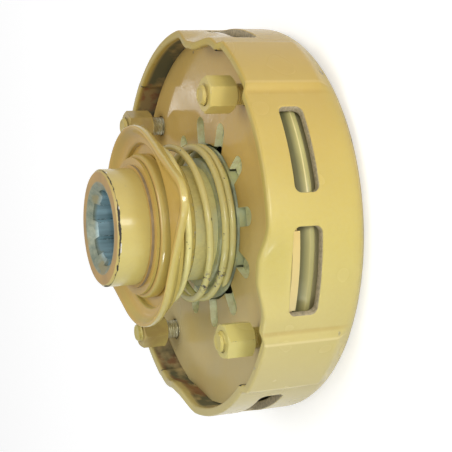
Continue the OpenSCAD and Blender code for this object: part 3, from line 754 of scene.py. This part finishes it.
def painted(name, tone=GOLD, shade=GOLD_SHADE, pale=GOLD_PALE, gloss=0.3, grime_and_shade=0.5, chips=0.5, pits=0.6):
    """Brushed-on gold enamel: cloudy tone, pale patches, a paler, greener side towards -Y that is painted
    light from below, grain, dust, dirt and painted shade in corners, orange peel, chips on edges, and pits."""
    f = Finish(name)
    f.colour = f.mix(f.cloud(26, 1, 0.2, 0.85), tone, shade)
    f.lay(f.cloud(11, 2, 0.35, 0.85, 0.0, 0.4, shift=0.7), pale)
    # painted light: the side towards -Y is paler and greener, as if lit from below
    f.lay(f.ramp(f.y, 25, -25, 0.0, 0.8), (tone[0], tone[1] * 1.12, tone[2] * 1.3))
    f.lay(f.cloud(520, 3, 0.40, 0.90, 0.0, 0.25, rough=0.6), shade)
    f.lay(f.cloud(420, 3, 0.4, 0.9, 0.0, 0.12, rough=0.6, shift=0.2), DUST)
    # dirt and painted shade: darker in corners, where ambient occlusion finds little light
    dirt_and_corner_shade = f.times(f.corner(), f.cloud(80, 5, 0.3, 0.75, 0.35, 1.0, rough=0.6), grime_and_shade)
    f.rough = f.calc("ADD", f.cloud(60, 1, 0.2, 0.8, gloss - 0.03, gloss + 0.06), f.times(dirt_and_corner_shade, 0.35))
    f.lay(dirt_and_corner_shade, GRIME_AND_SHADE)
    f.height = f.calc("ADD", f.times(f.noise(650, 2), 0.6), f.times(f.noise(170, 2, shift=0.4), 1.2))
    if chips:
        f.chip(f.times(f.edge(), f.cloud(430, 3, 0.575, 0.63, rough=0.6), f.cloud(45, 2, 0.46, 0.58), chips))
    if pits:
        f.chip(f.cloud(150, 1.5, 0.775, 0.79, 0.0, pits, rough=0.4, shift=0.9))
    return f


def bare(name, tone=DULL_STEEL, gloss=0.42, metal=0.55, rust=0.15, grime_and_shade=0.8):
    """Dull steel or bronze: a cloudy tone with paler patches, some rust, and oily dirt and painted shade in
    corners.
    """
    f = Finish(name)
    f.colour = f.mix(f.cloud(60, 5, 0.3, 0.7), tone, tuple(v * 0.72 for v in tone))
    f.lay(f.cloud(160, 4, 0.5, 0.72, 0.0, 0.6, rough=0.6, shift=0.5), tuple(min(1, v * 1.45) for v in tone))
    f.lay(f.cloud(75, 5, 0.58, 0.70, 0.0, rust, rough=0.7, shift=0.3), RUST)
    f.metal = metal
    # dirt and painted shade: darker in corners, where ambient occlusion finds little light
    dirt_and_corner_shade = f.times(f.corner(), grime_and_shade)
    f.rough = f.calc("ADD", f.cloud(210, 4, 0.3, 0.7, gloss - 0.08, gloss + 0.12), f.times(dirt_and_corner_shade, 0.3))
    f.lay(dirt_and_corner_shade, GRIME_AND_SHADE)
    f.height = f.calc("ADD", f.noise(900, 2), f.noise(240, 3, shift=0.4))
    return f


def housing_finish():
    """Gold outside and on the rim, paler towards -Y as a painted reflection of the floor, browner towards
    +Y as painted shade, with painted highlight and painted shade lines along the pockets' sides. Inside,
    thin overspray over green primer and rust, lighter towards -Y as painted light, a painted shade line in
    the crease at each pocket's side below the rim; grey-brown cut edges in the windows; dirt on the rear face."""
    floor_reflection_tone, upper = (0.66, 0.55, 0.26), (0.62, 0.41, 0.095)
    thin_coat, painted_light_inside_below = (0.36, 0.27, 0.13), (0.62, 0.49, 0.25)
    green_primer, old_rust = (0.09, 0.105, 0.07), (0.30, 0.12, 0.06)
    cut_pale, cut_dark = (0.60, 0.51, 0.34), (0.38, 0.32, 0.21)
    painted_crease_highlight, painted_crease_shade = (0.86, 0.72, 0.36), (0.46, 0.30, 0.07)

    f = painted("housing_paint", (0.60, 0.455, 0.115), (0.54, 0.39, 0.09), (0.64, 0.52, 0.19),
                gloss=0.24, chips=0.9)
    # painted reflection of the floor: paler and duller towards -Y
    f.lay(f.times(f.ramp(f.y, -15, -75), f.cloud(22, 2, 0.2, 0.8, 0.4, 0.8, shift=0.45)), floor_reflection_tone)
    inside = f.times(f.faces_in(), f.ramp(f.z, 45.2, 43.2), f.ramp(f.r, 80, 84))
    f.lay(inside, thin_coat, 0.45)
    # painted light: the inner faces are lighter towards -Y
    f.lay(f.times(inside, f.ramp(f.y, -20, -50, 0.0, 0.8)), painted_light_inside_below, 0.5)
    f.lay(f.times(inside, f.cloud(40, 4, 0.44, 0.54, 0.0, 0.9, rough=0.6, shift=0.15)), green_primer, 0.5)
    f.lay(f.times(inside, f.cloud(56, 4, 0.53, 0.60, 0.0, 0.75, rough=0.65, shift=0.55)), old_rust, 0.6)
    in_window = f.times(f.band(f.z, 22.6, 36.4, 0.3), f.band(f.r, 86.4, 90.35, 0.25))
    cut = f.times(in_window, f.ramp(f.calc("ABSOLUTE", f.out), 0.75, 0.45))
    f.lay(cut, f.mix(f.cloud(600, 4, 0.4, 0.6, rough=0.7), cut_pale, cut_dark), 0.5)
    quarter = f.calc("FLOORED_MODULO", f.calc("ARCTAN2", f.y, f.x), math.pi / 2)
    from_middle = f.calc("ABSOLUTE", f.calc("SUBTRACT", quarter, math.pi / 4))
    turn = f.calc("MULTIPLY", from_middle, 180 / math.pi)
    outside = f.times(f.faces_out(), f.ramp(f.z, 5, 12))
    # painted highlight and painted shade along each pocket's side
    f.lay(f.times(outside, f.band(turn, 8.9, 9.3, 0.35), 0.45), painted_crease_highlight, 0.2)
    f.lay(f.times(outside, f.band(turn, 11.3, 11.9, 0.5), 0.35), painted_crease_shade)
    # painted shade: dark primer colour laid in the inner crease at each pocket's side below the rim
    painted_inner_crease_shade = f.times(f.faces_in(), f.ramp(f.z, 42, 44), f.band(turn, 10.8, 11.6, 0.2))
    f.lay(painted_inner_crease_shade, PRIMER, 0.6)
    # painted shade: the outer faces turn browner towards +Y, standing in for warmer, weaker light on that side
    f.lay(f.times(outside, f.ramp(f.y, 15, 70, 0.0, 0.8)), upper)
    for x, y, z, radius in HOUSING_CHIPS:
        f.chip(f.times(f.near(x, y, z, radius), f.cloud(800, 2, 0.42, 0.52, shift=0.2)))
    rear = f.times(f.ramp(f.z, 3.0, 1.5), f.faces_rear(),
                   f.cloud(24, 4, 0.5, 0.62, 0.0, 0.7, rough=0.6))
    f.lay(rear, GRIME_AND_SHADE, 0.6)
    return f.done()


def spring_finish():
    """The disc spring: its gold browner as painted shade, paler in its lower half as a painted reflection
    of the floor; grey-green walls in the slots, made pale as painted light; and a scratch."""
    floor_reflection_tone, slot_green_and_painted_light, scratched = (0.64, 0.54, 0.28), (0.95, 0.97, 0.68), (0.70, 0.58, 0.36)

    # painted shade: the spring's gold is browner and more orange for the weaker, warmer light on faces that
    # look forwards
    f = painted("disc_spring_paint", (0.70, 0.475, 0.13), (0.62, 0.41, 0.115), (0.70, 0.53, 0.22), 0.13,
                grime_and_shade=0.4, chips=0.3)
    # painted reflection of the floor: paler and duller in the lower half
    low = f.times(f.ramp(f.y, 8, -42), f.cloud(17, 4, 0.36, 0.62, 0.3, 0.9, rough=0.55, shift=0.6))
    f.lay(low, floor_reflection_tone, 0.3)
    # grey-green slot walls, made pale as painted light against the shade in the slots
    walls = f.times(f.ramp(f.nz, 0.55, 0.25), f.ramp(f.r, 70, 60),
                    f.cloud(240, 4, 0.3, 0.6, 0.55, 1.0, rough=0.7, shift=0.1))
    f.lay(walls, slot_green_and_painted_light, 0.45, 0.05)
    slanted = f.calc("SUBTRACT", f.x, f.times(f.y, 0.12))
    scratch = f.times(f.band(slanted, 74.6, 74.75, 0.16), f.band(f.y, 12.5, 19.5, 0.8))
    f.lay(f.times(scratch, 0.8), scratched, 0.5)
    return f.done()


def hub_finish():
    """Gold barrel with a browner end face as painted shade, and a worn dark line and painted glints round
    that end; bare splines and lead-in; olive film under the coil, made pale as painted light;
    grey-green lugs."""
    face, face_dark = (0.62, 0.39, 0.13), (0.48, 0.31, 0.13)
    film_pale_and_painted_light, film_dark_and_painted_light, film_grey_and_painted_light = (0.98, 0.90, 0.40), (0.86, 0.78, 0.33), (0.80, 0.84, 0.58)
    lug_grey, lug_olive = (0.64, 0.70, 0.47), (0.74, 0.74, 0.38)
    mouth_dark, mouth_pale, mouth_brown = (0.22, 0.27, 0.21), (0.42, 0.44, 0.31), (0.40, 0.33, 0.15)
    tooth_pale, tooth_dark, tooth_brown = (0.56, 0.78, 0.84), (0.26, 0.40, 0.43), (0.42, 0.36, 0.16)
    tooth_edge, black_line, glint_tone = (0.85, 0.88, 0.86), (0.045, 0.038, 0.028), (0.80, 0.78, 0.70)
    line_height = 88.35

    f = painted("hub_paint", BRIGHT_GOLD, (0.64, 0.48, 0.13), (0.74, 0.62, 0.26), 0.2,
                grime_and_shade=0.35, chips=0, pits=0.2)
    # painted shade: the end face is browner for the weaker, warmer light on faces that look forwards
    front = f.times(f.ramp(f.z, 88.0, 88.9), f.faces_front())
    f.lay(front, f.mix(f.cloud(110, 4, 0.35, 0.7), face, face_dark), 0.42)

    # olive film under the coil, its tones made pale as painted light against the coil's shade
    film = f.times(f.ramp(f.z, 57.5, 55.5), f.ramp(f.r, 27.6, 27.2), f.ramp(f.z, 36.4, 37.4))
    f.lay(film, f.mix(f.cloud(420, 4, 0.35, 0.65, rough=0.7), film_pale_and_painted_light, film_dark_and_painted_light), 0.36)
    f.lay(f.times(film, f.cloud(52, 4, 0.52, 0.66, 0.0, 0.6, shift=0.8)), film_grey_and_painted_light, 0.42)
    f.chip(f.times(film, f.cloud(330, 3, 0.70, 0.73, 0.0, 0.8, rough=0.6, shift=0.45)))

    lugs = f.times(f.ramp(f.z, 36.5, 36.2), f.ramp(f.r, 20, 24))
    f.lay(lugs, f.mix(f.cloud(140, 5, 0.35, 0.65, rough=0.7), lug_grey, lug_olive), 0.45, 0.05)

    mouth = f.times(f.ramp(f.r, 21.6, 20.9), f.ramp(f.z, 83.0, 84.5))
    f.lay(mouth, f.mix(f.cloud(260, 5, 0.35, 0.65, rough=0.7), mouth_dark, mouth_pale), 0.32, 0.15)
    f.lay(f.times(mouth, f.cloud(70, 3, 0.54, 0.6, 0.0, 0.7, shift=0.15)), mouth_brown, 0.4, 0.0)

    teeth = f.times(f.ramp(f.r, 20.9, 20.6), f.ramp(f.z, 86.6, 85.0))
    streaks = f.cloud(200, 4, 0.35, 0.68, rough=0.6, stretch=(1, 1, 0.12))
    f.lay(teeth, f.mix(streaks, tooth_pale, tooth_dark), 0.3, 0.3)
    stains = f.cloud(95, 4, 0.56, 0.64, 0.0, 0.8, rough=0.6, shift=0.45)
    f.lay(f.times(teeth, stains, f.ramp(f.z, 76, 86)), tooth_brown, 0.4, 0.0)
    f.chip(f.times(teeth, f.edge(0.0008), f.cloud(300, 3, 0.46, 0.54)), tooth_edge)

    wavy = f.calc("ADD", f.z, f.cloud(210, 3, 0.3, 0.7, -0.25, 0.25, shift=0.9))
    across = f.calc("ABSOLUTE", f.calc("SUBTRACT", wavy, line_height))
    width = f.times(f.cloud(150, 4, 0.42, 0.66, 0.06, 0.62, rough=0.7, shift=0.25),
                    f.ramp(f.y, 24, 14, 0.4, 1.0))
    line = f.times(f.ramp(f.calc("SUBTRACT", width, across), -0.08, 0.10), f.ramp(f.r, 24.8, 25.2),
                   f.ramp(f.z, 86.8, 87.2))
    f.lay(line, black_line, 0.6)
    # painted glints: pale spots along the edge round the end
    painted_edge_glint = f.times(f.cloud(170, 2, 0.56, 0.60, shift=0.55), f.band(f.z, 87.75, 88.1, 0.15),
                     f.ramp(f.r, 26.2, 26.5))
    f.lay(painted_edge_glint, glint_tone, 0.3)
    return f.done()


def coil_finish():
    """Glossy gold wire with chips down to the steel near two spots of its outside, and a few elsewhere."""
    f = painted("coil_paint", (0.95, 0.83, 0.32), (0.88, 0.74, 0.26), (0.94, 0.85, 0.44), 0.15,
                grime_and_shade=0.3, chips=0, pits=0.5)
    worn = f.cloud(400, 3, 0.52, 0.56, rough=0.7, shift=0.35)
    f.chip(f.times(worn, f.near(23.5, -28.0, 49.0, 8)))
    f.chip(f.times(worn, f.near(27.5, -24.0, 43.0, 4)))
    elsewhere = f.cloud(330, 3, 0.66, 0.69, rough=0.7, shift=0.75)
    f.chip(f.times(elsewhere, f.ramp(f.calc("SUBTRACT", f.r, 35.0), 0.6, 1.0)))
    return f.done(specular=0.7)


def collar_finish():
    """Gold collar, plate and rings, browner as painted shade on the faces that look forwards; a dull stop
    ring, a painted shade line in the gap round the plate's hole, and chips on the rear edge."""
    ring_pale, ring_dark, gap_shade_tone = (0.40, 0.30, 0.17), (0.30, 0.23, 0.14), (0.10, 0.07, 0.025)
    front_gold, front_brown = (0.74, 0.48, 0.11), (0.62, 0.38, 0.09)

    f = painted("collar_paint", gloss=0.16, grime_and_shade=0.3, chips=0.3, pits=0.4)
    ring = f.times(f.band(f.z, 73.2, 75.2, 0.1), f.ramp(f.r, 29.0, 28.8))
    f.lay(ring, f.mix(f.cloud(220, 4, 0.35, 0.65), ring_pale, ring_dark), 0.45)
    # painted shade: a dark line in the gap round the plate's hole
    gap_shade = f.band(f.z, 71.35, 71.75, 0.12)
    f.lay(f.times(gap_shade, f.band(f.r, 30.9, 33.2, 0.2)), gap_shade_tone, 0.5)
    # painted shade: faces that look forwards are browner, for the weaker, warmer light there
    front_face_shade = f.times(f.faces_front(), 0.85)
    f.lay(front_face_shade, f.mix(f.cloud(40, 4, 0.35, 0.7), front_gold, front_brown))
    rear = f.times(f.ramp(f.z, 56.2, 54.6), f.ramp(f.r, 33, 32))
    f.chip(f.times(rear, f.cloud(520, 3, 0.50, 0.56, rough=0.65), f.cloud(60, 2, 0.36, 0.48)))
    return f.done(specular=0.7)


def nut_finish():
    """Gold nuts, browner on the pair towards -X."""
    f = painted("nut_paint", BRIGHT_GOLD, (0.68, 0.52, 0.14), gloss=0.22, grime_and_shade=0.35, chips=0.7, pits=0.4)
    browner_towards_minus_x = (0.46, 0.33, 0.12)
    # browner towards -X
    f.lay(f.times(f.ramp(f.x, 0, -40), f.cloud(90, 4, 0.35, 0.6, 0.3, 0.85)), browner_towards_minus_x)
    return f.done()


def stud_finish():
    """Studs: painted ends; the threads under the nuts are painted on the near pair and zinc on the far one."""
    zinc, stained = (0.78, 0.76, 0.56), (0.50, 0.44, 0.20)

    f = painted("stud_paint", shade=(0.60, 0.47, 0.15), grime_and_shade=0.3, chips=0.3, pits=0.0)
    under = f.ramp(f.z, 43.0, 42.0)
    far = f.ramp(f.x, 10, -10)
    f.lay(f.times(under, far), zinc, 0.3, 0.6)
    f.lay(f.times(under, far, f.cloud(260, 4, 0.45, 0.6, 0.0, 0.6)), stained, 0.4, 0.2)
    return f.done()


def pressure_finish():
    """Grey-green steel, made pale as painted light. Round its edge, painted shade in front of a line of gold
    paint and painted highlight, and olive steel behind it.
    """
    olive, olive_dark, olive_below = (0.62, 0.56, 0.22), (0.54, 0.48, 0.18), (0.32, 0.29, 0.12)
    oily_patch, shoulder_shade, deeper_shoulder_shade = (0.30, 0.34, 0.22), (0.20, 0.19, 0.085), (0.115, 0.105, 0.045)
    gold_line_and_highlight = (0.84, 0.74, 0.34)

    # the grey-green tone is made pale as painted light against the shade in the slots
    f = bare("pressure_plate_steel", (0.92, 0.95, 0.60), 0.38, 0.0, 0.0, 0.0)
    f.lay(f.cloud(170, 4, 0.50, 0.64, 0.0, 0.75, rough=0.65, shift=0.6), oily_patch, 0.5)
    rim = f.ramp(f.r, 76, 80)
    f.lay(rim, f.mix(f.cloud(60, 4, 0.4, 0.65), olive, olive_dark), 0.3)
    f.lay(f.times(rim, f.ramp(f.y, 6, -6, 0.0, 0.55)), olive_below)
    # painted shade on the sloping shoulder, deepening towards the front
    f.lay(f.times(rim, f.ramp(f.z, 26.3, 28.6)), shoulder_shade, 0.38)
    f.lay(f.times(rim, f.ramp(f.z, 28.4, 31.5)), deeper_shoulder_shade, 0.4)
    # a gold paint line on the edge, also a painted highlight, brighter towards +Y
    f.lay(f.times(rim, f.band(f.z, 25.9, 26.3, 0.12), f.ramp(f.y, -6, 6, 0.1, 0.85)), gold_line_and_highlight, 0.28)
    return f.done()


def seat_finish():
    """Grey-green steel ring with an olive film."""
    f = bare("seat_steel", (0.66, 0.74, 0.52), 0.34, 0.1, 0.0, 0.2)
    olive_film = (0.74, 0.70, 0.32)
    f.lay(f.cloud(90, 4, 0.48, 0.62, 0.0, 0.7, rough=0.6, shift=0.2), olive_film, 0.36)
    return f.done()


def lining_finish():
    """Pressed friction lining: brown-black grains with brassy flecks, and gold overspray on its edge."""
    dark, brown = (0.075, 0.06, 0.045), (0.15, 0.115, 0.08)
    brass, overspray = (0.36, 0.27, 0.13), (0.46, 0.40, 0.19)

    f = Finish("friction_lining")
    f.colour = f.mix(f.cloud(300, 4, 0.35, 0.65, rough=0.7), dark, brown)
    f.lay(f.cloud(1100, 2, 0.68, 0.72, 0.0, 0.8, rough=0.6, shift=0.4), brass)
    f.rough = f.cloud(400, 3, 0.3, 0.7, 0.65, 0.85)
    f.lay(f.ramp(f.r, 83.3, 83.8), overspray, 0.5)
    f.height = f.noise(1100, 3, 0.7)
    return f.done(bump=0.3)


# The scene

add_camera()
add_world()
add_floor()
for lamp in LAMPS:
    add_lamp(*lamp)
scene.view_settings.view_transform = "Standard"

collar_paint = collar_finish()
steel = bare("plate_steel").done()
lining = lining_finish()
finishes = {
    "disc_spring": spring_finish(),
    "splined_hub": hub_finish(),
    "collar_sleeve": collar_paint,
    "collar_stop_ring": collar_paint,
    "retaining_ring": collar_paint,
    "release_nuts": nut_finish(),
    "spring_seat": seat_finish(),
    "hub_bush": bare("bronze", (0.50, 0.33, 0.15), 0.35, 0.8, 0.0).done(),
    "locking_ball": bare("ball_steel", (0.60, 0.61, 0.60), 0.14, 1.0, 0.0, 0.4).done(),
    "friction_lining": lining,
}
for name, node in nodes.items():
    kind = name.rstrip("_1234")
    node.data.materials.clear()
    node.data.materials.append(finishes.get(kind, steel))

add_piece("housing_shell", housing_parts(), "housing", "clutch_housing", housing_finish(), 40)
coil = add_piece("collar_coil", coil_parts(), "hub", "collar_spring", coil_finish(), 60)
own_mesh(coil)
add_piece("grip_plate", plate_parts(), "collar", "pull_plate", collar_paint, 40)
add_piece("pressure_plate_turned", pressure_parts(), "housing", "pressure_plate",
          pressure_finish(), 30)
add_piece("threaded_studs", stud_parts(), "housing", "release_studs", stud_finish(), 50)
